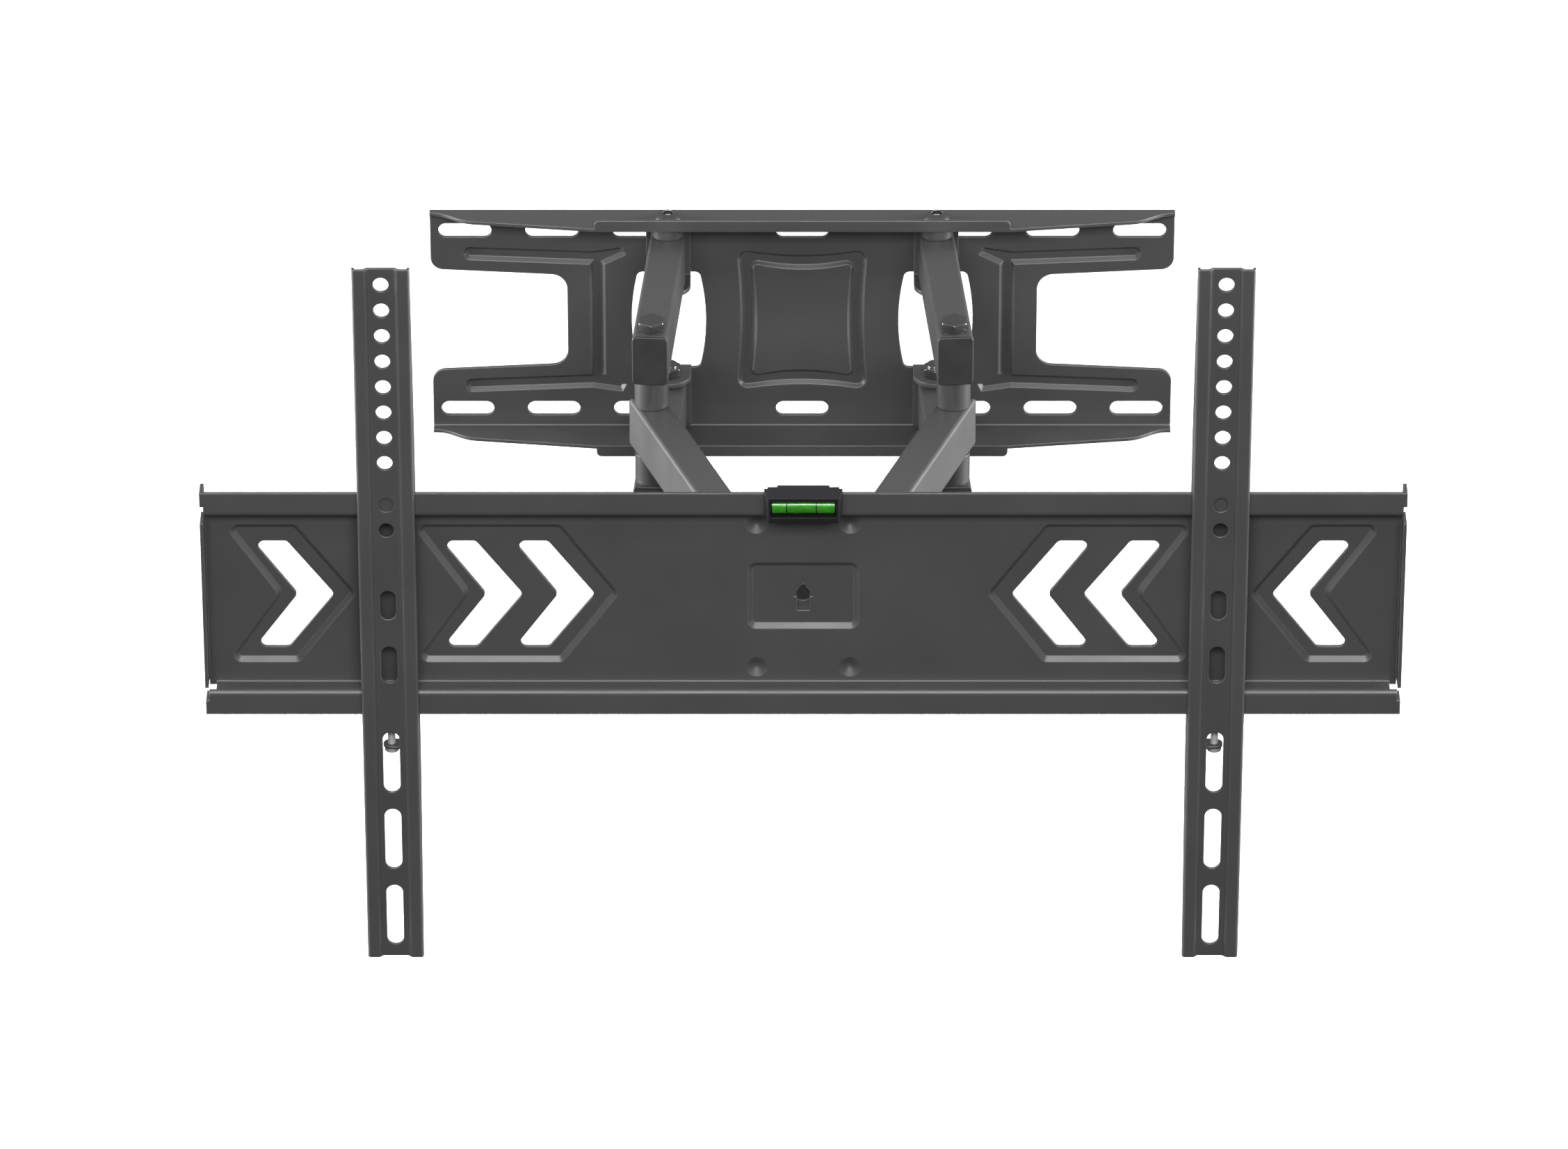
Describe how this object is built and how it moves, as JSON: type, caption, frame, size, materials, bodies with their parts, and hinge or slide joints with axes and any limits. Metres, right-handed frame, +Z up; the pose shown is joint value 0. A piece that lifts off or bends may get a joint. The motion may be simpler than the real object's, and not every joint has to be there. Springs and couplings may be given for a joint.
{
  "type": "full motion tv wall mount",
  "caption": "Wall mount that holds a flat television on folding double arms, and lets it reach out, swivel, tilt and level.",
  "frame": {"origin": "centre of the wall plate's slot pattern, on the wall plane, where the pressed channels rest on the wall", "axes": "+X right seen from the room, +Y into the wall, +Z up; the television is on the -Y side"},
  "size_m": [0.6564, 0.3531, 0.43],
  "materials": {
    "powder_coat": "satin dark grey powder coat with a fine texture",
    "spacer_coat": "satin dark grey",
    "cast_head": "dark painted casting",
    "black_fastener": "black oxide, slightly glossy",
    "end_cap": "moulded dark plastic",
    "bush_nylon": "black nylon",
    "level_plastic": "moulded black plastic",
    "vial_green": "clear acrylic with green liquid",
    "bubble_air": "air bubble",
    "ring_black": "black marks",
    "bright_screw": "bright plated screw"
  },
  "bodies": {
    "wall": {"shoulder_bolts": "black_fastener", "shoulder_bracket_lower_left": "powder_coat", "shoulder_bracket_lower_right": "powder_coat", "shoulder_bracket_upper_left": "powder_coat", "shoulder_bracket_upper_right": "powder_coat", "shoulder_discs": "spacer_coat", "shoulder_nuts": "black_fastener", "wall_plate": "powder_coat"},
    "rear_arms_left": {"rear_arm_upper_left": "powder_coat", "rear_arm_lower_left": "powder_coat", "rear_arm_caps_left": "end_cap", "shoulder_bushes_left": "bush_nylon", "elbow_bolt_left": "black_fastener", "elbow_nut_left": "black_fastener", "elbow_spacers_left": "spacer_coat"},
    "front_arm_left_body": {"front_arm_left": "powder_coat", "front_arm_cap_left": "end_cap", "front_arm_bushes_left": "bush_nylon"},
    "hook_bracket_left": {"tv_bracket_left": "powder_coat"},
    "screw_left": {"lock_screw_left": "bright_screw"},
    "rear_arms_right": {"rear_arm_upper_right": "powder_coat", "rear_arm_lower_right": "powder_coat", "rear_arm_caps_right": "end_cap", "shoulder_bushes_right": "bush_nylon", "elbow_bolt_right": "black_fastener", "elbow_nut_right": "black_fastener", "elbow_spacers_right": "spacer_coat"},
    "front_arm_right_body": {"front_arm_right": "powder_coat", "front_arm_cap_right": "end_cap", "front_arm_bushes_right": "bush_nylon"},
    "hook_bracket_right": {"tv_bracket_right": "powder_coat"},
    "screw_right": {"lock_screw_right": "bright_screw"},
    "yoke_body": {"yoke": "powder_coat", "front_pivot_bolts": "black_fastener", "front_pivot_nuts": "black_fastener", "yoke_washers": "bush_nylon", "swivel_pin": "black_fastener", "swivel_nut": "black_fastener"},
    "swivel_head": {"knuckle": "cast_head"},
    "tilt_head": {"tilt_bracket": "powder_coat", "tilt_bolt": "black_fastener", "tilt_nut": "black_fastener"},
    "screen_plate": {"hub_plate": "powder_coat", "level_pivot": "black_fastener", "level_studs": "black_fastener", "level_nuts": "black_fastener", "tv_plate": "powder_coat", "level_housing": "level_plastic", "vial": "vial_green", "bubble": "bubble_air", "vial_rings": "ring_black"}
  },
  "joints": [
    {"name": "extend", "type": "hinge", "parent": "wall", "child": "rear_arms_left", "pos_m": [-0.077, -0.0183, 0], "axis": [0, 0, -1], "range_deg": [-11, 60]},
    {"name": "left_elbow", "type": "hinge", "parent": "rear_arms_left", "child": "front_arm_left_body", "pos_m": [-0.08523, -0.13601, 0], "axis": [0, 0, 1], "range_deg": [-20.32, 109.5]},
    {"name": "left_front_pivot", "type": "hinge", "parent": "front_arm_left_body", "child": "yoke_body", "pos_m": [-0.03314, -0.2873, 0], "axis": [0, 0, -1], "range_deg": [-9.32, 49.5]},
    {"name": "right_shoulder", "type": "hinge", "parent": "wall", "child": "rear_arms_right", "pos_m": [0.077, -0.0183, 0], "axis": [0, 0, 1], "range_deg": [-11.3, 60.3]},
    {"name": "right_elbow", "type": "hinge", "parent": "rear_arms_right", "child": "front_arm_right_body", "pos_m": [0.08523, -0.13601, 0], "axis": [0, 0, -1], "range_deg": [-20.32, 109.5]},
    {"name": "swivel", "type": "hinge", "parent": "yoke_body", "child": "swivel_head", "pos_m": [0, -0.3003, 0], "axis": [0, 0, 1], "range_deg": [-20, 20]},
    {"name": "tilt", "type": "hinge", "parent": "swivel_head", "child": "tilt_head", "pos_m": [0, -0.3123, 0], "axis": [-1, 0, 0], "range_deg": [-15, 5]},
    {"name": "level", "type": "hinge", "parent": "tilt_head", "child": "screen_plate", "pos_m": [0, -0.3245, 0], "axis": [0, 1, 0], "range_deg": [-3, 3]},
    {"name": "left_bracket_slide", "type": "slide", "parent": "screen_plate", "child": "hook_bracket_left", "axis": [1, 0, 0], "range_m": [-0.07, 0.125]},
    {"name": "left_lock_screw", "type": "slide", "parent": "hook_bracket_left", "child": "screw_left", "axis": [0, 0, 1], "range_m": [-0.012, 0]},
    {"name": "right_bracket_slide", "type": "slide", "parent": "screen_plate", "child": "hook_bracket_right", "axis": [1, 0, 0], "range_m": [-0.125, 0.07]},
    {"name": "right_lock_screw", "type": "slide", "parent": "hook_bracket_right", "child": "screw_right", "axis": [0, 0, 1], "range_m": [-0.012, 0]}
  ],
  "couplings": [
    {"joint": "left_elbow", "follows": "extend", "ratio": 1.82},
    {"joint": "left_front_pivot", "follows": "extend", "ratio": 0.82},
    {"joint": "right_shoulder", "follows": "extend", "ratio": 1},
    {"joint": "right_elbow", "follows": "extend", "ratio": 1.82}
  ]
}
